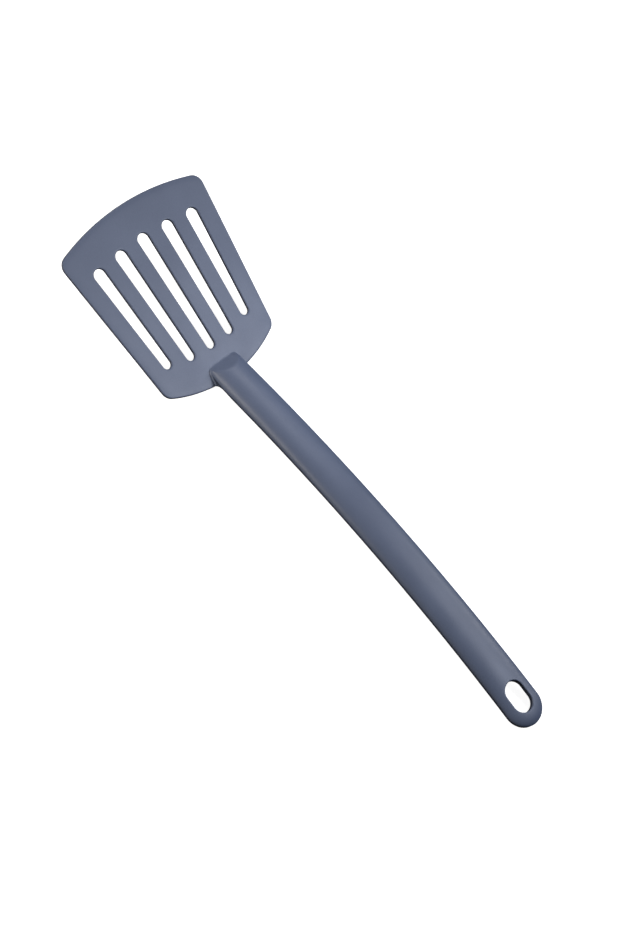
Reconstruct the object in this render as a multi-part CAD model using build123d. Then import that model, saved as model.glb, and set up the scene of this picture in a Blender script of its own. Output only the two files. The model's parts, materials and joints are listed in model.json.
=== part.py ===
from build123d import *
import os
from math import asin, atan2, cos, degrees, hypot, radians, sin, sqrt, tan

# Slotted grill spatula (turner).
#
# Everything is drawn in the blade's own frame first: X runs from the middle of the front edge back
# towards the hanging eye, Y across, Z up out of the blade's top face, which is the plane Z = 0.
# At the end the whole assembly is tilted into the way it lies on a table: on the blade's rear rim and
# the tail of the handle, with the blade's front edge in the air.

# ---- driving dimensions, millimetres and degrees ----------------------------------------------

# blade
BLADE_LENGTH = 102.6            # front edge to rear edge, on the centre line
BLADE_THICKNESS = 2.0
FAN_DISTANCE = 405.5            # front edge to the point where sides and slots would all meet
SIDE_ANGLE = 6.94               # each side of the blade from the centre line
FRONT_RADIUS = 143.5            # convex front edge
REAR_RADIUS = 80.0              # convex rear edge
CORNER_RADIUS = 6.5             # the four rounded corners
RIM_ROUND = 0.55                # rounding of every rim of the blade

# slots, fanned about the same point as the sides
SLOT_STEP_ANGLE = 2.4
SLOT_FRONT_RADIUS = 3.55
SLOT_REAR_RADIUS = 2.55
SLOT_SPANS = {0: (20.9, 82.7), 1: (22.1, 82.0), 2: (23.8, 78.8)}    # end centres: middle, inner, outer

# handle: a crowned bar along one circular arc that starts at the blade's rear edge
HANDLE_RADIUS = 837.0           # of the lower edge line, arched upwards
NECK_SLOPE = 24.5               # rise of the lower edge line at the blade's rear edge
NECK_HEIGHT = 1.32              # lower edge line above the blade's top face, there
HANDLE_LENGTH = 231.0           # along the arc, to the tip
NECK_HALF_WIDTH = 10.35
TAIL_HALF_WIDTH = 11.1
NECK_DEPTH = 7.0                # lower edge line to crown
TAIL_DEPTH = 4.8
SIDE_WALL = 1.0                 # upright part of the sides, below the crown
CHANNEL_DEPTH = 1.3             # shallow channel along the underside
CHANNEL_RIM = 2.8               # wall left on each side of the channel
CHANNEL_START = 26.0            # along the arc

# boss that stands on the blade
BOSS_FRONT_X = 92.8             # foot of the sloped front facet
FACET_SLOPE = 52.7              # from the blade's top face
BOSS_FRONT_HALF_WIDTH = 9.5
BOSS_CORNER_RADIUS = 2.6
BOSS_REAR_HALF_WIDTH = 10.6
HEEL_LENGTH = 4.5               # fillet from the blade's rear edge to the handle's underside, along the arc
HEEL_DROP = 1.2                 # where that fillet starts, below the blade's top face
HEEL_BULGE = 0.15               # its fullness below the lower edge line

# small flats where the rear rim and the tail touch the table
SEAT_FLAT_DEPTH = 0.1

# hanging eye
EYE_RADIUS = 5.7
EYE_STRAIGHT = 5.9              # straight part of the oblong
EYE_TO_TIP = 15.9

# hidden pieces
PLATE_THICKNESS = 0.8
PLATE_EDGE_COVER = 2.0          # moulding around the plate's outline
PLATE_SLOT_COVER = 1.4          # moulding around each slot
TANG_WIDTH = 11.0
TANG_LENGTH = 48.0              # straight part inside the core
TANG_SETBACK = 2.7              # its lower bend, behind the boss's front
TANG_BEND_RADIUS = 3.0
TIE_HOLE_RADIUS = 1.5           # holes where the moulding ties through the plate
SKIN = 0.9                      # moulding above and below the handle's core
SIDE_SKIN = 2.0                 # moulding beside the core
CORE_SIDE_WALL = 0.3            # upright part of the core's sides
RIVET_RADIUS = 1.5
RIVET_HEAD_RADIUS = 2.4
RIVET_HEAD_HEIGHT = 0.4
RIVET_SHANK = 1.8               # between the heads
RIVET_PLACES = (14.0, 36.0)     # along the tang from its upper bend

# ---- worked out --------------------------------------------------------------------------------

CORE_BASE = CHANNEL_DEPTH + SKIN
ARC_CENTRE_X = BLADE_LENGTH + HANDLE_RADIUS * sin(radians(NECK_SLOPE))
ARC_CENTRE_Z = NECK_HEIGHT - HANDLE_RADIUS * cos(radians(NECK_SLOPE))
STATIONS = 6
OVERRUN = 12.0                  # how far cutting shapes reach past what they cut


def side_half_width(x):
    """Half the width between the blade's straight sides, at x."""
    return (FAN_DISTANCE - x) * tan(radians(SIDE_ANGLE))


def on_arc(along, height=0.0):
    """Point of the XZ plane at a distance along the handle's lower edge line and above it."""
    slope = radians(NECK_SLOPE) - along / HANDLE_RADIUS
    reach = HANDLE_RADIUS + height
    return ARC_CENTRE_X - reach * sin(slope), ARC_CENTRE_Z + reach * cos(slope)


def arc_plane(along, height=0.0):
    """Plane across the handle: its X is the object's Y, its Y points out of the crown."""
    slope = radians(NECK_SLOPE) - along / HANDLE_RADIUS
    x, z = on_arc(along, height)
    return Plane(origin=(x, 0, z), x_dir=(0, 1, 0), z_dir=(cos(slope), 0, sin(slope)))


def floor_plane(along, height=0.0):
    """Plane along the handle: its X runs to the tail, its Z points out of the crown."""
    slope = radians(NECK_SLOPE) - along / HANDLE_RADIUS
    x, z = on_arc(along, height)
    return Plane(origin=(x, 0, z), x_dir=(cos(slope), 0, sin(slope)), z_dir=(-sin(slope), 0, cos(slope)))


def between(start, end, along):
    """Value that changes evenly from the neck to the tip."""
    return start + (end - start) * along / HANDLE_LENGTH


# ---- blade -------------------------------------------------------------------------------------

def side_and_arc_corner(centre_x, radius, facing):
    """Where a blade side crosses an end arc: facing is -1 for the front arc, 1 for the rear."""
    slope = tan(radians(SIDE_ANGLE))
    run = FAN_DISTANCE - centre_x
    a = 1 + slope ** 2
    b = -2 * slope ** 2 * run
    c = slope ** 2 * run ** 2 - radius ** 2
    x = centre_x + (-b + facing * sqrt(b ** 2 - 4 * a * c)) / (2 * a)
    return x, side_half_width(x)


def blade_outline(inset=0.0):
    """The fan: two straight sides, a convex front and rear edge and four rounded corners."""
    front = side_and_arc_corner(FRONT_RADIUS, FRONT_RADIUS, -1)
    rear = side_and_arc_corner(BLADE_LENGTH - REAR_RADIUS, REAR_RADIUS, 1)
    edges = [
        ThreePointArc((front[0], -front[1]), (0, 0), front),
        Line(front, rear),
        ThreePointArc(rear, (BLADE_LENGTH, 0), (rear[0], -rear[1])),
        Line((rear[0], -rear[1]), (front[0], -front[1])),
    ]
    face = make_face(edges)
    face = fillet(face.vertices(), CORNER_RADIUS)
    if inset > 0:
        face = offset(face, -inset)
    return face


def slot_face(number, cover=0.0):
    """One tapered slot with round ends; number is -2 to 2 from one side to the other."""
    front_x, rear_x = SLOT_SPANS[abs(number)]
    front_r = SLOT_FRONT_RADIUS + cover
    rear_r = SLOT_REAR_RADIUS + cover
    length = rear_x - front_x
    lean = asin((front_r - rear_r) / length)
    top_front = (front_r * sin(lean), front_r * cos(lean))
    top_rear = (length + rear_r * sin(lean), rear_r * cos(lean))
    edges = [
        Line(top_front, top_rear),
        ThreePointArc(top_rear, (length + rear_r, 0), (top_rear[0], -top_rear[1])),
        Line((top_rear[0], -top_rear[1]), (top_front[0], -top_front[1])),
        ThreePointArc((top_front[0], -top_front[1]), (-front_r, 0), top_front),
    ]
    fan = number * SLOT_STEP_ANGLE
    y = (FAN_DISTANCE - front_x) * tan(radians(fan))
    return Pos(front_x, y) * Rot(0, 0, -fan) * make_face(edges)


def blade_form():
    """Outer form of the blade moulding, with every rim rounded."""
    face = blade_outline()
    for number in range(-2, 3):
        face -= slot_face(number)
    slab = Pos(0, 0, -BLADE_THICKNESS) * extrude(face, BLADE_THICKNESS)
    rims = slab.faces().filter_by(Axis.Z).edges()
    return fillet(rims, RIM_ROUND)


def blade_plate():
    """Spring-steel sheet inside the blade, with its tang bent up into the handle."""
    middle = -BLADE_THICKNESS / 2
    face = blade_outline(PLATE_EDGE_COVER)
    for number in range(-2, 3):
        face -= slot_face(number, PLATE_SLOT_COVER)
    for x, y in tie_holes():
        face -= Pos(x, y) * Circle(TIE_HOLE_RADIUS)
    sheet = Pos(0, 0, middle - PLATE_THICKNESS / 2) * extrude(face, PLATE_THICKNESS)
    path = FilletPolyline(*tang_points(), radius=TANG_BEND_RADIUS)
    across = Plane(origin=path @ 0, x_dir=(0, 1, 0), z_dir=(1, 0, 0))
    section = across * Rectangle(TANG_WIDTH, PLATE_THICKNESS)
    return sheet + sweep(section, path)


def tie_holes():
    """Places of the holes in the plate: a row behind the front edge and one on each shoulder."""
    front_row = [(9.5, y) for y in (-32.0, -16.0, 0.0, 16.0, 32.0)]
    shoulders = [(86.0, -26.0), (86.0, 26.0)]
    return front_row + shoulders


def tang_points():
    """The tang's centre line: level, steep up through the boss, then along the middle of the core."""
    middle = -BLADE_THICKNESS / 2
    x, z = on_arc(0, (CORE_BASE + NECK_DEPTH - SKIN) / 2)
    slope = radians(NECK_SLOPE) - TANG_LENGTH / 2 / HANDLE_RADIUS
    level_start = (SLOT_SPANS[0][1] + SLOT_REAR_RADIUS + 2 * PLATE_SLOT_COVER, 0, middle)
    foot = (BOSS_FRONT_X + TANG_SETBACK, 0, middle)
    end = (x + TANG_LENGTH * cos(slope), 0, z + TANG_LENGTH * sin(slope))
    return level_start, foot, (x, 0, z), end


# ---- handle ------------------------------------------------------------------------------------

def crowned_section(along, side_inset, top_inset, shoulder):
    """Outline across the handle: upright sides and a half-elliptic crown above its shoulders.

    It reaches far below the handle, so that the underside is cut by another shape.
    """
    half = between(NECK_HALF_WIDTH, TAIL_HALF_WIDTH, along) - side_inset
    crown = between(NECK_DEPTH, TAIL_DEPTH, along) - top_inset
    edges = [
        Line((-half, -OVERRUN), (half, -OVERRUN)),
        Line((half, -OVERRUN), (half, shoulder)),
        EllipticalCenterArc((0, shoulder), half, crown - shoulder, arc_size=180),
        Line((-half, shoulder), (-half, -OVERRUN)),
    ]
    return arc_plane(along) * make_face(edges)


def crowned_bar(start, end, side_inset, top_inset, shoulder):
    """Bar of crowned sections, lofted along the handle's arc."""
    sections = []
    for i in range(STATIONS):
        along = start + (end - start) * i / (STATIONS - 1)
        sections.append(crowned_section(along, side_inset, top_inset, shoulder))
    return loft(sections)


def crowned_tail():
    """The end of the handle: half of its last section, turned about the middle of the round tail."""
    centre = HANDLE_LENGTH - TAIL_HALF_WIDTH
    x, z = on_arc(centre)
    slope = radians(NECK_SLOPE) - centre / HANDLE_RADIUS
    upright = Axis((x, 0, z), (-sin(slope), 0, cos(slope)))
    section = crowned_section(centre, 0, 0, SIDE_WALL)
    half_section = split(section, Plane.XZ, keep=Keep.TOP)
    return revolve(half_section, upright, 180)


def side_profile():
    """The handle seen from the side: foot of the facet, crown side open, tail, underside and heel."""
    facet_foot = (BOSS_FRONT_X, 0)
    facet_top = (BOSS_FRONT_X + OVERRUN / tan(radians(FACET_SLOPE)), OVERRUN)
    tail_high = on_arc(HANDLE_LENGTH + 1, OVERRUN)
    tail_low = on_arc(HANDLE_LENGTH + 1)
    heel_end = on_arc(HEEL_LENGTH)
    heel_start = (BLADE_LENGTH, -HEEL_DROP)
    under_boss = (BOSS_FRONT_X, -HEEL_DROP)
    edges = [
        Line(facet_foot, facet_top),
        ThreePointArc(facet_top, on_arc(HANDLE_LENGTH / 2, OVERRUN), tail_high),
        Line(tail_high, tail_low),
        ThreePointArc(tail_low, on_arc(HANDLE_LENGTH / 2), heel_end),
        Spline(heel_end, on_arc(HEEL_LENGTH / 4, -HEEL_BULGE), heel_start),
        Line(heel_start, under_boss),
        Line(under_boss, facet_foot),
    ]
    face = Plane.XZ * make_face(edges)
    return extrude(face, 2 * OVERRUN, both=True)


def boss_plan():
    """Plan of the boss's front: rounded corners, sides flaring to the handle's full width."""
    rear_x = BLADE_LENGTH - 1.0
    far = BLADE_LENGTH + 2 * HANDLE_LENGTH
    points = [
        (BOSS_FRONT_X, -BOSS_FRONT_HALF_WIDTH),
        (BOSS_FRONT_X, BOSS_FRONT_HALF_WIDTH),
        (rear_x, BOSS_REAR_HALF_WIDTH),
        (far, 4 * BOSS_REAR_HALF_WIDTH),
        (far, -4 * BOSS_REAR_HALF_WIDTH),
        (rear_x, -BOSS_REAR_HALF_WIDTH),
    ]
    face = make_face(Polyline(*points, close=True))
    front = face.vertices().group_by(Axis.X)[0]
    face = fillet(front, BOSS_CORNER_RADIUS)
    return Pos(0, 0, -OVERRUN) * extrude(face, 2 * OVERRUN + HANDLE_LENGTH)


def round_end(radius, tip):
    """Everything ahead of an end seen from above, which is rounded off to a radius."""
    ahead = Pos(-2 * HANDLE_LENGTH, 0, 0) * Box(4 * HANDLE_LENGTH, 8 * OVERRUN, 2 * HANDLE_LENGTH)
    return floor_plane(tip - radius) * (ahead + Cylinder(radius, 2 * HANDLE_LENGTH))


def arc_band(start, end, low, high, half_width):
    """Curved bar between two heights above the lower edge line."""
    middle = (start + end) / 2
    edges = [
        ThreePointArc(on_arc(start, low), on_arc(middle, low), on_arc(end, low)),
        Line(on_arc(end, low), on_arc(end, high)),
        ThreePointArc(on_arc(end, high), on_arc(middle, high), on_arc(start, high)),
        Line(on_arc(start, high), on_arc(start, low)),
    ]
    return extrude(Plane.XZ * make_face(edges), half_width, both=True)


def eye():
    """The oblong hanging eye, as a cutting shape."""
    face = SlotOverall(EYE_STRAIGHT + 2 * EYE_RADIUS, 2 * EYE_RADIUS)
    return floor_plane(HANDLE_LENGTH - EYE_TO_TIP) * extrude(face, OVERRUN, both=True)


def channel():
    """Shallow channel along the underside, round at both ends."""
    half = TAIL_HALF_WIDTH - CHANNEL_RIM
    band = arc_band(CHANNEL_START, HANDLE_LENGTH, -1, CHANNEL_DEPTH, half)
    front_cut = floor_plane(CHANNEL_START + half)
    behind = Pos(2 * HANDLE_LENGTH, 0, 0) * Box(4 * HANDLE_LENGTH, 8 * OVERRUN, 2 * HANDLE_LENGTH)
    round_front = front_cut * (behind + Cylinder(half, 2 * HANDLE_LENGTH))
    return band & round_front & round_end(half, HANDLE_LENGTH - CHANNEL_RIM)


def handle_form():
    """Outer form of the handle moulding, before anything inside it is taken away."""
    profile = side_profile()
    bar = crowned_bar(-OVERRUN, HANDLE_LENGTH - TAIL_HALF_WIDTH, 0, 0, SIDE_WALL)
    form = (bar & profile & boss_plan()) + (crowned_tail() & profile)
    return form - eye() - channel()


def core_form():
    """Stiff bar inside the handle, from behind the neck to just ahead of the eye."""
    bar = crowned_bar(0, HANDLE_LENGTH, SIDE_SKIN, SKIN, CORE_BASE + CORE_SIDE_WALL)
    band = arc_band(0, HANDLE_LENGTH, CORE_BASE, OVERRUN, 2 * OVERRUN)
    eye_front = HANDLE_LENGTH - EYE_TO_TIP - EYE_STRAIGHT / 2 - EYE_RADIUS
    return bar & band & round_end(TAIL_HALF_WIDTH - SIDE_SKIN, eye_front - SIDE_SKIN)


def tang_rivets():
    """Two headed rivets through the core and the tang, square to the tang."""
    bend, end = tang_points()[2:]
    slope = atan2(end[2] - bend[2], end[0] - bend[0])
    rivets = Part()
    for place in RIVET_PLACES:
        spot = Plane(
            origin=(bend[0] + place * cos(slope), 0, bend[2] + place * sin(slope)),
            x_dir=(cos(slope), 0, sin(slope)),
            z_dir=(-sin(slope), 0, cos(slope)),
        )
        half_shank = RIVET_SHANK / 2
        half_length = half_shank + RIVET_HEAD_HEIGHT
        outline = Polyline(
            (0, -half_length),
            (RIVET_HEAD_RADIUS, -half_length),
            (RIVET_HEAD_RADIUS, -half_shank),
            (RIVET_RADIUS, -half_shank),
            (RIVET_RADIUS, half_shank),
            (RIVET_HEAD_RADIUS, half_shank),
            (RIVET_HEAD_RADIUS, half_length),
            (0, half_length),
            close=True,
        )
        rivets += spot * revolve(Plane.XZ * make_face(outline), Axis.Z)
    return rivets


# ---- assembly ----------------------------------------------------------------------------------

def build():
    """All pieces, each cut back to exactly the space it fills, in the blade's frame."""
    blade = blade_form()
    plate = blade_plate()
    core = core_form()
    handle = handle_form() - blade - core - plate
    core -= plate
    rivets = tang_rivets()
    return {
        "blade_skin": blade - plate,
        "blade_plate": plate - rivets,
        "handle_skin": handle,
        "handle_core": core - rivets,
        "tang_rivets": rivets,
    }


def resting(pieces):
    """Tilt about Y until the rear rim and the tail touch the table, then centre over the origin.

    The table takes a thin slice off both, which leaves the flats that the spatula stands on.
    """
    tail_x, tail_z = on_arc(HANDLE_LENGTH)
    run = tail_x - BLADE_LENGTH + RIM_ROUND
    rise = tail_z + BLADE_THICKNESS - RIM_ROUND
    tilt = degrees(atan2(rise, run) + asin(RIM_ROUND / hypot(run, rise)))
    tilted = {name: Rot(0, tilt, 0) * piece for name, piece in pieces.items()}
    boxes = [piece.bounding_box() for piece in tilted.values()]
    middle_x = (min(b.min.X for b in boxes) + max(b.max.X for b in boxes)) / 2
    table_height = min(b.min.Z for b in boxes) + SEAT_FLAT_DEPTH
    table = Pos(0, 0, -OVERRUN) * Box(2 * HANDLE_LENGTH, HANDLE_LENGTH, 2 * OVERRUN)
    return {name: Pos(-middle_x, 0, -table_height) * piece - table for name, piece in tilted.items()}


os.makedirs("parts", exist_ok=True)
for node, piece in resting(build()).items():
    export_step(piece, f"parts/{node}.step")
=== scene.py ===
import json
import math

import bpy
import numpy as np
from mathutils import Matrix, Vector


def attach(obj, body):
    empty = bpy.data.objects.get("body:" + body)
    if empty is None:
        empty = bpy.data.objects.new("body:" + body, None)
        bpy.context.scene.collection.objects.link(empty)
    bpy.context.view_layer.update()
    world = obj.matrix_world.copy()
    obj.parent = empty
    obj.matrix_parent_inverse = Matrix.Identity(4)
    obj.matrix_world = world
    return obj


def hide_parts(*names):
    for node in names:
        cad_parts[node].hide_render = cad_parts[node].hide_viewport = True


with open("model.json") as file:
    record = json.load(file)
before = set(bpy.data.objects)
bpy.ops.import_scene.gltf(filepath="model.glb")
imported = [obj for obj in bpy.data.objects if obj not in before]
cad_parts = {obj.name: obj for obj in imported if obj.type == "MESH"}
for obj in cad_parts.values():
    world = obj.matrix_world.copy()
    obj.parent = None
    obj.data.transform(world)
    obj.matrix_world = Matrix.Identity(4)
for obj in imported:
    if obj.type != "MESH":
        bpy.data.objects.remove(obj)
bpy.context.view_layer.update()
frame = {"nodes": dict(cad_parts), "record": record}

# Looks of a slotted grill spatula, moulded in slate blue-grey plastic.
#
# The stiffening plate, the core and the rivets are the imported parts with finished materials. The
# blade and the handle are built here again, each as one softly rounded moulding of the same size:
# its form is a distance field, written in the blade's own frame in millimetres, and a net of quads
# is drawn over it. In that frame X runs from the middle of the front edge to the hanging eye, Y
# across, and Z up out of the blade's top face.

MM = 0.001      # in metres

# ---- driving dimensions, the same as in the part's source: millimetres, angles in radians --------

# blade, and slots that are fanned about the same point as its sides
BLADE_LENGTH = 102.6
BLADE_THICKNESS = 2.0
FAN_DISTANCE = 405.5            # front edge to the point where sides and slots would all meet
SIDE_ANGLE = math.radians(6.94)
FRONT_RADIUS = 143.5
REAR_RADIUS = 80.0
CORNER_RADIUS = 6.5
RIM_ROUND = 0.55                # rounding of every rim of the blade
SLOT_NUMBERS = range(-2, 3)     # from one side to the other, 0 is the middle one
SLOT_STEP_ANGLE = math.radians(2.4)
SLOT_FRONT_RADIUS = 3.55
SLOT_REAR_RADIUS = 2.55
SLOT_SPANS = {0: (20.9, 82.7), 1: (22.1, 82.0), 2: (23.8, 78.8)}    # end centres: middle, inner, outer

# handle, along one circular arc
HANDLE_RADIUS = 837.0           # of the lower edge line
NECK_SLOPE = math.radians(24.5)
NECK_HEIGHT = 1.32              # lower edge line above the blade's top face, at its rear edge
HANDLE_LENGTH = 231.0           # along the arc, to the tip
NECK_HALF_WIDTH = 10.35
TAIL_HALF_WIDTH = 11.1
NECK_DEPTH = 7.0                # lower edge line to crown
TAIL_DEPTH = 4.8
NECK_SIDE_WALL = 1.0            # upright part of the sides, below the crown
CHANNEL_DEPTH = 1.3             # shallow channel along the underside
CHANNEL_RIM = 2.8               # wall left on each side of the channel
CHANNEL_START = 26.0            # along the arc

# boss that stands on the blade, and heel between the handle's underside and the blade's rear edge
BOSS_FRONT_X = 92.8             # foot of the sloped front facet
BOSS_REAR_X = BLADE_LENGTH - 1.0
FACET_SLOPE = math.radians(52.7)
BOSS_FRONT_HALF_WIDTH = 9.5
BOSS_REAR_HALF_WIDTH = 10.6
HEEL_LENGTH = 4.5               # along the arc
HEEL_DROP = 1.2                 # where the heel starts, below the blade's top face

# hanging eye
EYE_RADIUS = 5.7
EYE_STRAIGHT = 5.9              # straight part of the oblong
EYE_TO_TIP = 15.9

# where the record's blade_underside mount lies, from the blade's front edge
MOUNT_X = 10.0

# ---- softer forms that the part's source leaves out or simplifies, millimetres -------------------

EDGE_REACH = 4.0                # strip along the blade's outline where its top face falls away
EDGE_DROP = 0.2
TAIL_SIDE_WALL = 1.8            # the sides' upright part grows towards the tail
BOSS_CORNER_RADIUS = 3.3        # a little rounder than in the part's source
LOWER_EDGE_ROUND = 0.45
HEEL_SIDE_ROUND = 1.6           # the same edge where the heel is deepest
FACET_ROUND = 0.5
BOSS_SIDE_ROUND = 0.9
CREASE_FILLET = 0.8             # between the boss and the blade's top face
CREASE_REACH = 0.9              # how far that fillet's skirt spreads
SKIRT_DEPTH = 0.5               # how deep the handle's mesh goes into the blade
EYE_TOP_ROUND = 0.5
EYE_BOTTOM_ROUND = 0.4
CHANNEL_ROUND = 0.35

# ---- worked out ----------------------------------------------------------------------------------

ARC_CENTRE_X = BLADE_LENGTH + HANDLE_RADIUS * math.sin(NECK_SLOPE)
ARC_CENTRE_Z = NECK_HEIGHT - HANDLE_RADIUS * math.cos(NECK_SLOPE)


# ---- frames --------------------------------------------------------------------------------------

def blade_to_row():
    """Matrix from the blade's own frame, in millimetres, to the frame that the part rests in."""
    mounts = {mount["name"]: mount for mount in frame["record"]["mounts"]}
    underside = mounts["blade_underside"]
    up = -Vector(underside["axis"]).normalized()
    back = Vector((up.z, 0, -up.x))
    origin = Vector(underside["pos_m"]) + (up * BLADE_THICKNESS - back * MOUNT_X) * MM
    turn = Matrix((back, (0, 1, 0), up)).transposed().to_4x4()
    return Matrix.Translation(origin) @ turn @ Matrix.Scale(MM, 4)


def on_arc(along, height=0.0):
    """x and z at a distance along the handle's lower edge line and above it."""
    slope = NECK_SLOPE - along / HANDLE_RADIUS
    reach = HANDLE_RADIUS + height
    return ARC_CENTRE_X - reach * np.sin(slope), ARC_CENTRE_Z + reach * np.cos(slope)


def along_and_height(x, z):
    """The reverse of on_arc."""
    slope = np.arctan2(ARC_CENTRE_X - x, z - ARC_CENTRE_Z)
    height = np.hypot(ARC_CENTRE_X - x, z - ARC_CENTRE_Z) - HANDLE_RADIUS
    return (NECK_SLOPE - slope) * HANDLE_RADIUS, height


def between(at_neck, at_tail, along):
    """Value that changes evenly from the neck to the tip."""
    return at_neck + (at_tail - at_neck) * along / HANDLE_LENGTH


def half_width(along):
    """Half the handle's width."""
    return between(NECK_HALF_WIDTH, TAIL_HALF_WIDTH, along)


def crown_depth(along):
    """Height of the crown above the lower edge line."""
    return between(NECK_DEPTH, TAIL_DEPTH, along)


# ---- distance fields: negative inside, millimetres -----------------------------------------------

def common(a, b, radius):
    """What two forms share, its new edge rounded."""
    rounded = np.hypot(np.maximum(radius + a, 0), np.maximum(radius + b, 0))
    return np.minimum(np.maximum(a, b), -radius) + rounded


def merged(a, b, radius):
    """Both forms together, with a fillet in the corner between them."""
    return -common(-a, -b, radius)


def box_distance(a, b, radius):
    """Distance to a square corner, rounded; a and b are the distances outside its two walls."""
    outside = np.hypot(np.maximum(a + radius, 0), np.maximum(b + radius, 0))
    inside = np.minimum(np.maximum(a, b) + radius, 0)
    return outside + inside - radius


def arc_corner(a, b, cosine, radius):
    """Corner of a plan rounded to an arc; cosine is that of the angle between its two normals."""
    a, b = a + radius, b + radius
    beyond = (a > cosine * b) & (b > cosine * a)
    reach = np.sqrt(np.maximum(a ** 2 + b ** 2 - 2 * cosine * a * b, 0) / (1 - cosine ** 2))
    return np.where(beyond, reach, np.maximum(a, b)) - radius


def fan_field(x, y):
    """The blade's outline."""
    front = np.hypot(x - FRONT_RADIUS, y) - FRONT_RADIUS
    rear = np.hypot(x - BLADE_LENGTH + REAR_RADIUS, y) - REAR_RADIUS
    side = np.abs(y) * math.cos(SIDE_ANGLE) - (FAN_DISTANCE - x) * math.sin(SIDE_ANGLE)
    front_reach = FAN_DISTANCE * math.tan(SIDE_ANGLE)
    front_turn = math.asin(front_reach / FRONT_RADIUS) - SIDE_ANGLE
    rear_reach = (FAN_DISTANCE - BLADE_LENGTH) * math.tan(SIDE_ANGLE)
    rear_turn = math.asin(rear_reach / REAR_RADIUS) + SIDE_ANGLE
    front_part = arc_corner(front, side, math.sin(front_turn), CORNER_RADIUS)
    rear_part = arc_corner(rear, side, math.sin(rear_turn), CORNER_RADIUS)
    return np.maximum(front_part, rear_part)


def slot_field(x, y, number):
    """One tapered slot with round ends; number is -2 to 2 from one side to the other."""
    front_x, rear_x = SLOT_SPANS[abs(number)]
    length = rear_x - front_x
    fan = number * SLOT_STEP_ANGLE
    ahead = x - front_x
    aside = y - (FAN_DISTANCE - front_x) * math.tan(fan)
    u = ahead * math.cos(fan) - aside * math.sin(fan)
    v = np.abs(ahead * math.sin(fan) + aside * math.cos(fan))
    lean = math.asin((SLOT_FRONT_RADIUS - SLOT_REAR_RADIUS) / length)
    wall = u * math.sin(lean) + v * math.cos(lean) - SLOT_FRONT_RADIUS
    along_wall = u * math.cos(lean) - v * math.sin(lean)
    front_end = np.hypot(u, v) - SLOT_FRONT_RADIUS
    rear_end = np.hypot(u - length, v) - SLOT_REAR_RADIUS
    past_rear = along_wall > length * math.cos(lean)
    return np.where(along_wall < 0, front_end, np.where(past_rear, rear_end, wall))


def blade_field(x, y, z):
    """The blade without its slots; its top face falls away a little along the whole outline."""
    outline = fan_field(x, y)
    drop = EDGE_DROP * np.clip(1 + outline / EDGE_REACH, 0, 1) ** 2
    faces = np.maximum(z + drop, -z - BLADE_THICKNESS)
    return box_distance(outline, faces, RIM_ROUND)


def slotted_blade_field(point):
    """The whole blade moulding."""
    x, y, z = point
    form = blade_field(x, y, z)
    for number in SLOT_NUMBERS:
        form = common(form, -slot_field(x, y, number), RIM_ROUND)
    return form


def outline_field(along, y):
    """The handle seen square to its crown, with its round tail."""
    half = half_width(along)
    past_centre = np.maximum(along - HANDLE_LENGTH + TAIL_HALF_WIDTH, 0)
    return np.hypot(past_centre, y) - half


def crown_field(along, y, height):
    """Half-elliptic crown over upright sides, which goes around the tail too."""
    half = half_width(along)
    wall = between(NECK_SIDE_WALL, TAIL_SIDE_WALL, along)
    rise = crown_depth(along) - wall
    across = (half + outline_field(along, y)) / half
    above = np.maximum(height - wall, 0) / rise
    size = np.maximum(np.hypot(across, above), 1e-6)
    steepness = np.hypot(across / half, above / rise) / size
    return (size - 1) / np.maximum(steepness, 1e-6)


def heel_field(x, z, along, height):
    """Underside of the handle, which curves down to the blade's rear edge.

    The heel is an arc that leaves the lower edge line smoothly and ends on the rear edge.
    """
    touch_x, touch_z = on_arc(HEEL_LENGTH)
    slope = NECK_SLOPE - HEEL_LENGTH / HANDLE_RADIUS
    out_x = math.sin(slope)
    out_z = -math.cos(slope)
    run_x = touch_x - BLADE_LENGTH
    run_z = touch_z + HEEL_DROP
    radius = -(run_x ** 2 + run_z ** 2) / (2 * (out_x * run_x + out_z * run_z))
    centre_x = touch_x + radius * out_x
    centre_z = touch_z + radius * out_z
    fill = radius - np.hypot(x - centre_x, z - centre_z)
    fill = np.maximum(fill, -HEEL_DROP - z)
    fill = np.maximum(fill, along - HEEL_LENGTH)
    return np.minimum(-height, fill)


def boss_field(x, y, z):
    """The sloped facet and the flared plan with round corners that cut the boss's front."""
    ahead = BOSS_FRONT_X - x
    facet = ahead * math.sin(FACET_SLOPE) + z * math.cos(FACET_SLOPE)
    flare = (BOSS_REAR_HALF_WIDTH - BOSS_FRONT_HALF_WIDTH) / (BOSS_REAR_X - BOSS_FRONT_X)
    sides = np.abs(y) - BOSS_FRONT_HALF_WIDTH + ahead * flare
    plan = box_distance(ahead, sides, BOSS_CORNER_RADIUS)
    return facet, plan


def oblong_field(along, y, middle, straight, radius):
    """Oblong with round ends, seen square to the crown."""
    return np.hypot(np.maximum(np.abs(along - middle) - straight / 2, 0), y) - radius


def channel_field(along, y, height):
    """Shallow channel along the underside."""
    half = TAIL_HALF_WIDTH - CHANNEL_RIM
    end = HANDLE_LENGTH - CHANNEL_RIM
    middle = (CHANNEL_START + end) / 2
    plan = oblong_field(along, y, middle, end - CHANNEL_START - 2 * half, half)
    return common(plan, height - CHANNEL_DEPTH, CHANNEL_ROUND)


def bar_field(x, y, z, along, height):
    """The crowned bar and its heel; the edge between them is rounder beside the heel."""
    heel = np.clip(1 - along / (2 * HEEL_LENGTH), 0, 1)
    lower_round = LOWER_EDGE_ROUND + (HEEL_SIDE_ROUND - LOWER_EDGE_ROUND) * heel
    return common(crown_field(along, y, height), heel_field(x, z, along, height), lower_round)


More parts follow.
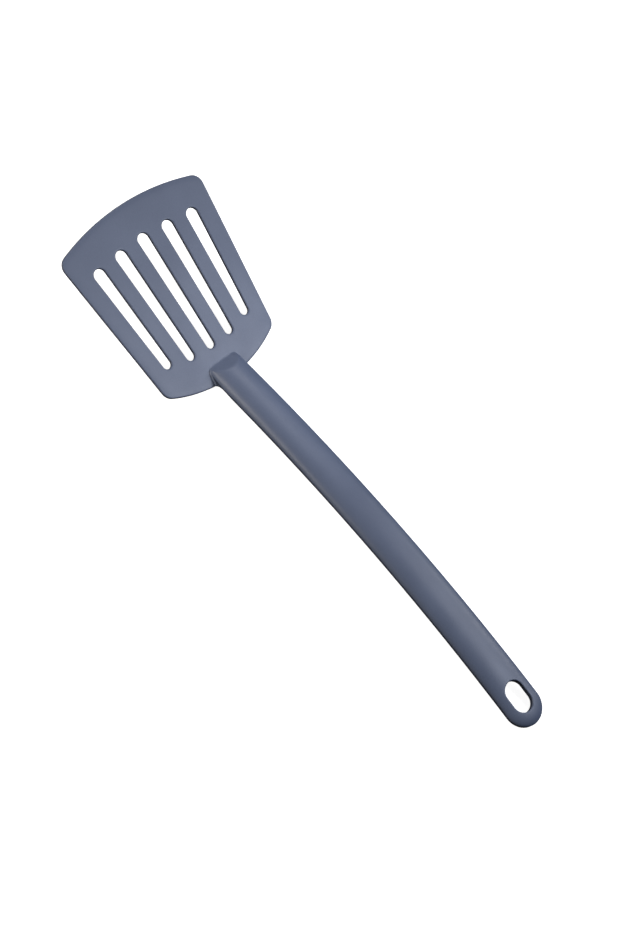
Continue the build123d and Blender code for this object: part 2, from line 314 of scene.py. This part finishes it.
def without_eye(form, along, y, height):
    """The form with the hanging eye cut through it, its rim rounder on the crown."""
    eye = oblong_field(along, y, HANDLE_LENGTH - EYE_TO_TIP, EYE_STRAIGHT, EYE_RADIUS)
    upper = np.clip(height / crown_depth(along), 0, 1)
    eye_round = EYE_BOTTOM_ROUND + (EYE_TOP_ROUND - EYE_BOTTOM_ROUND) * upper
    return common(form, -eye, eye_round)


def handle_field(point):
    """The whole handle moulding, with the fillet that runs out onto the blade.

    Of the blade it keeps only a skirt around the boss, which ends inside the blade moulding.
    """
    x, y, z = point
    along, height = along_and_height(x, z)
    facet, plan = boss_field(x, y, z)
    grip = common(bar_field(x, y, z, along, height), plan, BOSS_SIDE_ROUND)
    grip = common(grip, facet, FACET_ROUND)
    grip = without_eye(grip, along, y, height)
    grip = common(grip, -channel_field(along, y, height), CHANNEL_ROUND)
    blade = blade_field(x, y, z)
    body = merged(grip, blade, CREASE_FILLET)
    skirt = np.maximum(grip - CREASE_REACH, -SKIRT_DEPTH - blade)
    under_blade = np.maximum(z + BLADE_THICKNESS / 2, fan_field(x, y) + SKIRT_DEPTH)
    return np.maximum(np.maximum(body, skirt), -under_blade)


# ---- net of quads over a field -------------------------------------------------------------------

def graded(stops, end):
    """Positions along a line up to its end; each stop is (position, step from there on)."""
    starts = [position for position, _ in stops]
    places = [np.array(starts[:1])]
    for (start, step), stop in zip(stops, starts[1:] + [end]):
        count = max(1, round((stop - start) / step))
        places.append(np.linspace(start, stop, count + 1)[1:])
    return np.concatenate(places)


def part_of_grid(cuts):
    """Index of a part of the grid; cuts holds (axis, first, last) for the axes that are cut."""
    index = [slice(None)] * 3
    for axis, first, last in cuts:
        index[axis] = slice(first, last)
    return tuple(index)


def crossings_along(axis, points, values):
    """The grid edges along one axis: which the surface crosses, which start inside, and where."""
    low = part_of_grid([(axis, None, -1)])
    high = part_of_grid([(axis, 1, None)])
    inside = values < 0
    crossed = inside[low] != inside[high]
    gap = np.where(crossed, values[low] - values[high], 1)
    share = np.where(crossed, values[low] / gap, 0)
    spot = points[(slice(None),) + low] * (1 - share) + points[(slice(None),) + high] * share
    return crossed, inside[low], spot


def quads_across(axis, crossed, starts_inside, number):
    """A quad across each crossed edge, between the four cells around it, facing outwards."""
    a, b = [n for n in range(3) if n != axis]
    inner = part_of_grid([(a, 1, -1), (b, 1, -1)])
    cell = np.argwhere(crossed[inner])
    outward = starts_inside[inner][tuple(cell.T)]
    if axis == 1:
        outward = ~outward
    corners = []
    for step_a, step_b in ((0, 0), (1, 0), (1, 1), (0, 1)):
        place = cell.copy()
        place[:, a] += step_a
        place[:, b] += step_b
        corners.append(number[tuple(place.T)])
    quad = np.stack(corners, axis=1)
    return np.where(outward[:, None], quad, quad[:, ::-1])


def surface_net(points, values):
    """One vertex in each grid cell that the surface passes through, quads across its edges.

    points is 3 x I x J x K, values is I x J x K. Returns the vertices and the quads.
    """
    shape = tuple(n - 1 for n in values.shape)
    total = np.zeros((3,) + shape)
    count = np.zeros(shape)
    edges = []
    for axis in range(3):
        crossed, starts_inside, spot = crossings_along(axis, points, values)
        edges.append((crossed, starts_inside))
        a, b = [n for n in range(3) if n != axis]
        for first in (0, 1):
            for second in (0, 1):
                window = part_of_grid([(a, first, first + shape[a]), (b, second, second + shape[b])])
                total += spot[(slice(None),) + window] * crossed[window]
                count += crossed[window]
    used = count > 0
    number = np.full(shape, -1)
    number[used] = np.arange(used.sum())
    vertices = (total[:, used] / count[used]).T
    quads = [quads_across(axis, *edge, number) for axis, edge in enumerate(edges)]
    return vertices, np.concatenate(quads)


def settled(field, vertices):
    """Moves the vertices onto the surface, by short steps along the field's slope."""
    rounds = 5
    probe = 0.002
    longest_step = 0.3
    least_steepness = 0.05
    spot = vertices.T.copy()
    for _ in range(rounds):
        value = field(spot)
        slope = np.empty_like(spot)
        for axis in range(3):
            shift = np.zeros((3, 1))
            shift[axis] = probe
            slope[axis] = (field(spot + shift) - field(spot - shift)) / (2 * probe)
        steepness = np.maximum((slope ** 2).sum(0), least_steepness)
        spot -= slope * np.clip(value / steepness, -longest_step, longest_step)
    return spot.T


def relaxed(vertices, quads):
    """Each vertex halfway to the mean of its neighbours, which evens out the net."""
    total = np.zeros_like(vertices)
    count = np.zeros(len(vertices))
    for step in (1, -1):
        neighbour = np.roll(quads, step, axis=1)
        for corner in range(4):
            np.add.at(total, quads[:, corner], vertices[neighbour[:, corner]])
            np.add.at(count, quads[:, corner], 1)
    return (vertices + total / count[:, None]) / 2


def moulded_piece(name, field, points, node):
    """A field as one closed mesh, kept above the table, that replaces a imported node."""
    vertices, quads = surface_net(points, field(points))
    for _ in range(2):
        vertices = settled(field, relaxed(vertices, quads))
    place = np.array(blade_to_row())
    vertices = vertices @ place[:3, :3].T + place[:3, 3]
    vertices[:, 2] = np.maximum(vertices[:, 2], 0)
    mesh = bpy.data.meshes.new(name)
    mesh.from_pydata(vertices.tolist(), [], quads.tolist())
    mesh.shade_smooth()
    piece = bpy.data.objects.new(name, mesh)
    bpy.context.scene.collection.objects.link(piece)
    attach(piece, "root")
    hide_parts(node)
    return piece


def handle():
    """The handle moulding, over a grid that follows its arc and is finer at the boss and the eye.

    Across the handle the grid is in shares of its half width.
    """
    along_stops = [(-14, 0.3), (8, 1.0), (14, 1.6), (200, 0.8), (204, 0.35)]
    along = graded(along_stops, 232)
    across = graded([(-1.2, 0.032)], 1.2)
    height = graded([(-2.2, 0.28)], 8.2)
    s, v, h = np.meshgrid(along, across, height, indexing="ij")
    x, z = on_arc(s, h)
    points = np.stack([x, v * half_width(s), z])
    return moulded_piece("handle_moulding", handle_field, points, "handle_skin")


def blade():
    """The blade moulding, over a grid that fans out like its sides and slots."""
    along = graded([(-0.8, 0.45)], 103.6)
    fan = np.radians(graded([(-7.3, 0.06)], 7.3))
    height = graded([(-2.3, 0.23)], 0.23)
    x, turn, z = np.meshgrid(along, fan, height, indexing="ij")
    points = np.stack([x, (FAN_DISTANCE - x) * np.tan(turn), z])
    return moulded_piece("blade_moulding", slotted_blade_field, points, "blade_skin")


# ---- materials -----------------------------------------------------------------------------------

class Nodes:
    """Short way to write a material's nodes."""

    def __init__(self, name):
        self.material = bpy.data.materials.new(name)
        self.material.use_nodes = True
        self.tree = self.material.node_tree
        self.shader = self.tree.nodes["Principled BSDF"]
        coordinates = self.add("ShaderNodeTexCoord")
        self.place = coordinates.outputs["Object"]
        self.normal = coordinates.outputs["Normal"]

    def add(self, kind, inputs=None, **settings):
        """A new node, with its inputs set or linked."""
        node = self.tree.nodes.new(kind)
        for name, value in settings.items():
            setattr(node, name, value)
        for name, value in (inputs or {}).items():
            self.put(node.inputs[name], value)
        return node

    def put(self, socket, value):
        """Links an output to a socket, or sets the socket's own value."""
        if isinstance(value, bpy.types.NodeSocket):
            self.tree.links.new(value, socket)
        else:
            socket.default_value = value

    def noise(self, scale, detail):
        """Noise over the object's own coordinates; scale is in features per metre."""
        inputs = {"Vector": self.place, "Scale": scale, "Detail": detail}
        return self.add("ShaderNodeTexNoise", inputs).outputs["Fac"]

    def stretched_noise(self, stretch, scale, detail):
        """Noise over coordinates that are stretched by a factor for each axis."""
        mapping = self.add("ShaderNodeMapping", {"Vector": self.place, "Scale": stretch})
        inputs = {"Vector": mapping.outputs["Vector"], "Scale": scale, "Detail": detail}
        return self.add("ShaderNodeTexNoise", inputs).outputs["Fac"]

    def remap(self, value, low, high, out_low, out_high):
        """A value between low and high, carried over to another range."""
        node = self.add("ShaderNodeMapRange", {"Value": value, "From Min": low, "From Max": high})
        self.put(node.inputs["To Min"], out_low)
        self.put(node.inputs["To Max"], out_high)
        return node.outputs["Result"]

    def ramp(self, value, dark, light):
        """Colour between two others."""
        node = self.add("ShaderNodeValToRGB", {"Fac": value})
        node.color_ramp.elements[0].color = dark
        node.color_ramp.elements[1].color = light
        return node.outputs["Color"]

    def levelness(self):
        """1 on level surfaces, tops and undersides alike, and 0 on upright walls."""
        upward = self.add("ShaderNodeSeparateXYZ", {"Vector": self.normal}).outputs["Z"]
        return self.add("ShaderNodeMath", {0: upward}, operation="ABSOLUTE").outputs["Value"]

    def bump(self, height, distance, strength, under=None):
        """Relief, over another relief if one is given."""
        inputs = {"Height": height, "Distance": distance, "Strength": strength}
        if under is not None:
            inputs["Normal"] = under
        return self.add("ShaderNodeBump", inputs).outputs["Normal"]


def moulding_material(name, wall_level):
    """Slate blue-grey plastic, matt, with the fine grain of a spark-eroded mould.

    Rims and walls, where the surface is less level than wall_level, are duller and darker: their
    colour carries painted shade, which stands in for the dark surroundings they face.
    """
    n = Nodes(name)
    cloud = n.noise(38.0, 3.0)
    fleck = n.noise(1900.0, 2.0)
    dark = (0.121, 0.150, 0.232, 1)
    light = (0.142, 0.175, 0.267, 1)
    colour = n.ramp(n.remap(cloud, 0.3, 0.7, 0.2, 0.8), dark, light)
    speck = n.remap(fleck, 0.35, 0.65, 0.965, 1.035)
    level = n.levelness()
    # painted shade: the colour of upright walls and rims is darkened down to 0.35 of the level faces'
    # colour
    wall = n.remap(level, 0.1, wall_level, 0.35, 1.0)
    # random flecks of real tone, times the painted shade on walls and rims
    fleck_and_painted_shade = n.add("ShaderNodeMath", {0: speck, 1: wall}, operation="MULTIPLY").outputs["Value"]
    tint = n.add("ShaderNodeVectorMath", {0: colour, 1: fleck_and_painted_shade}, operation="MULTIPLY")
    n.put(n.shader.inputs["Base Color"], tint.outputs["Vector"])
    n.put(n.shader.inputs["Roughness"], n.remap(n.noise(55.0, 4.0), 0.3, 0.7, 0.36, 0.44))
    n.shader.inputs["IOR"].default_value = 1.5
    n.put(n.shader.inputs["Specular IOR Level"], n.remap(level, 0.1, wall_level, 0.1, 0.45))
    wavy = n.bump(n.noise(16.0, 1.0), 0.0006, 0.25)
    grain = n.bump(n.noise(2600.0, 3.0), 0.00003, 0.5, wavy)
    n.put(n.shader.inputs["Normal"], grain)
    return n.material


def steel_material():
    """Spring steel with a fine brushed grain along the spatula."""
    n = Nodes("brushed_spring_steel")
    strokes = n.stretched_noise((25.0, 900.0, 900.0), 3.0, 4.0)
    dark = (0.42, 0.42, 0.43, 1)
    light = (0.62, 0.62, 0.61, 1)
    n.put(n.shader.inputs["Base Color"], n.ramp(strokes, dark, light))
    n.shader.inputs["Metallic"].default_value = 1.0
    n.put(n.shader.inputs["Roughness"], n.remap(strokes, 0.2, 0.8, 0.26, 0.42))
    n.put(n.shader.inputs["Normal"], n.bump(strokes, 0.00002, 0.4))
    return n.material


def core_material():
    """Glass-filled nylon: near black, with short pale fibres near the surface."""
    n = Nodes("glass_filled_nylon")
    fibres = n.stretched_noise((300.0, 1500.0, 1500.0), 1.0, 5.0)
    nylon = (0.018, 0.018, 0.020, 1)
    glass = (0.075, 0.075, 0.078, 1)
    n.put(n.shader.inputs["Base Color"], n.ramp(n.remap(fibres, 0.45, 0.75, 0.0, 1.0), nylon, glass))
    n.put(n.shader.inputs["Roughness"], n.remap(fibres, 0.3, 0.7, 0.45, 0.62))
    n.put(n.shader.inputs["Normal"], n.bump(fibres, 0.00004, 0.5))
    return n.material


def floor_material():
    """Pale light table: its own glow keeps it white and its shadows faint."""
    n = Nodes("studio_floor")
    tone = n.remap(n.noise(3.0, 2.0), 0.3, 0.7, 0.93, 0.95)
    n.put(n.shader.inputs["Base Color"], tone)
    n.shader.inputs["Roughness"].default_value = 0.9
    n.shader.inputs["Specular IOR Level"].default_value = 0.1
    n.put(n.shader.inputs["Emission Color"], tone)
    n.shader.inputs["Emission Strength"].default_value = 1.0
    return n.material


# ---- camera, stage and lights, in metres and watts -----------------------------------------------

AIM = Vector((-0.0060, 0.0013, 0.0))
CAMERA_AZIMUTH = math.radians(-77.183)    # from the part's X, about its upward axis
CAMERA_ELEVATION = math.radians(58.843)
CAMERA_ROLL = math.radians(37.696)
CAMERA_DISTANCE = 1.2582        # from the aim
LENS = 96.67                    # millimetres, like the sensor
SENSOR = 36.0
FLOOR_REACH = 6.0               # from the middle of the floor to its sides
SOFTBOX_DISTANCE = 1.4
SOFTBOX_SIZE = 0.4
LAMP_SIZE = 0.08

# tints of the lights, and places on the part that the small lamps face
COOL = (0.93, 0.98, 1.10)
NEUTRAL = (1.0, 1.0, 1.0)
WARM = (1.08, 1.0, 0.90)
NECK = Vector((-0.07, 0.0, 0.01))
GRIP = Vector((0.08, 0.0, 0.01))


def direction(azimuth, elevation):
    """Unit vector from the middle of the part towards a place around it."""
    level = math.cos(elevation)
    return Vector((level * math.cos(azimuth), level * math.sin(azimuth), math.sin(elevation)))


def camera():
    """The camera, high beside the spatula and rolled so that the handle runs down to the right."""
    data = bpy.data.cameras.new("camera")
    data.sensor_fit = "VERTICAL"
    data.sensor_height = SENSOR
    data.lens = LENS
    data.clip_start = 0.01
    eye = bpy.data.objects.new("camera", data)
    away = direction(CAMERA_AZIMUTH, CAMERA_ELEVATION)
    level = away.to_track_quat("Z", "Y").to_matrix().to_4x4()
    roll = Matrix.Rotation(CAMERA_ROLL, 4, "Z")
    eye.matrix_world = Matrix.Translation(AIM + away * CAMERA_DISTANCE) @ level @ roll
    bpy.context.scene.collection.objects.link(eye)
    bpy.context.scene.camera = eye


def floor():
    """Plain pale floor, which adds no light to the part."""
    mesh = bpy.data.meshes.new("floor")
    corners = [(x * FLOOR_REACH, y * FLOOR_REACH, 0) for x, y in ((-1, -1), (1, -1), (1, 1), (-1, 1))]
    mesh.from_pydata(corners, [], [(0, 1, 2, 3)])
    mesh.materials.append(floor_material())
    piece = bpy.data.objects.new("floor", mesh)
    piece.visible_diffuse = False
    piece.visible_glossy = False
    bpy.context.scene.collection.objects.link(piece)


def soft_light(name, place, aim, size, watts, tint):
    """Square softbox that faces the aim."""
    data = bpy.data.lights.new(name, "AREA")
    data.shape = "SQUARE"
    data.size = size
    data.energy = watts
    data.color = tint
    lamp = bpy.data.objects.new(name, data)
    turn = (place - aim).to_track_quat("Z", "Y").to_matrix().to_4x4()
    lamp.matrix_world = Matrix.Translation(place) @ turn
    bpy.context.scene.collection.objects.link(lamp)


def studio_light(name, azimuth, elevation, watts, tint):
    """One of the softboxes around the part, all at the same distance; the angles are in degrees."""
    away = direction(math.radians(azimuth), math.radians(elevation))
    soft_light(name, away * SOFTBOX_DISTANCE, Vector(), SOFTBOX_SIZE, watts, tint)


def lights():
    """Four softboxes around the part and three small lamps close to it."""
    studio_light("key_softbox", 50, 50, 5.25, COOL)
    studio_light("low_softbox", 80, 30, 3.15, NEUTRAL)
    studio_light("tail_softbox", 140, 50, 3.5, NEUTRAL)
    studio_light("left_softbox", 230, 20, 6.5, WARM)
    soft_light("left_lamp", Vector((-0.11, -0.24, 0.12)), NECK, 2 * LAMP_SIZE, 0.2, WARM)
    soft_light("neck_lamp", Vector((-0.045, 0.04, 0.08)), NECK, LAMP_SIZE, 0.014, COOL)
    soft_light("tail_lamp", Vector((0.1, 0.15, 0.25)), GRIP, LAMP_SIZE, 0.079, NEUTRAL)


def surroundings():
    """Background that is white where the camera sees it and gives the part hardly any light."""
    world = bpy.data.worlds.new("studio")
    world.use_nodes = True
    background = world.node_tree.nodes["Background"]
    background.inputs["Color"].default_value = (1, 1, 1, 1)
    rays = world.node_tree.nodes.new("ShaderNodeLightPath")
    strength = world.node_tree.nodes.new("ShaderNodeMapRange")
    strength.inputs["To Min"].default_value = 0.02
    world.node_tree.links.new(rays.outputs["Is Camera Ray"], strength.inputs["Value"])
    world.node_tree.links.new(strength.outputs["Result"], background.inputs["Strength"])
    bpy.context.scene.world = world
    bpy.context.scene.view_settings.view_transform = "Standard"


# ---- scene ---------------------------------------------------------------------------------------

def finish_node(name, material):
    """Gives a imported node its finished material."""
    part = frame["nodes"][name]
    part.data.materials.clear()
    part.data.materials.append(material)


camera()
steel = steel_material()
handle().data.materials.append(moulding_material("slate_handle", 0.3))
blade().data.materials.append(moulding_material("slate_blade", 0.85))
finish_node("blade_plate", steel)
finish_node("tang_rivets", steel)
finish_node("handle_core", core_material())
floor()
lights()
surroundings()
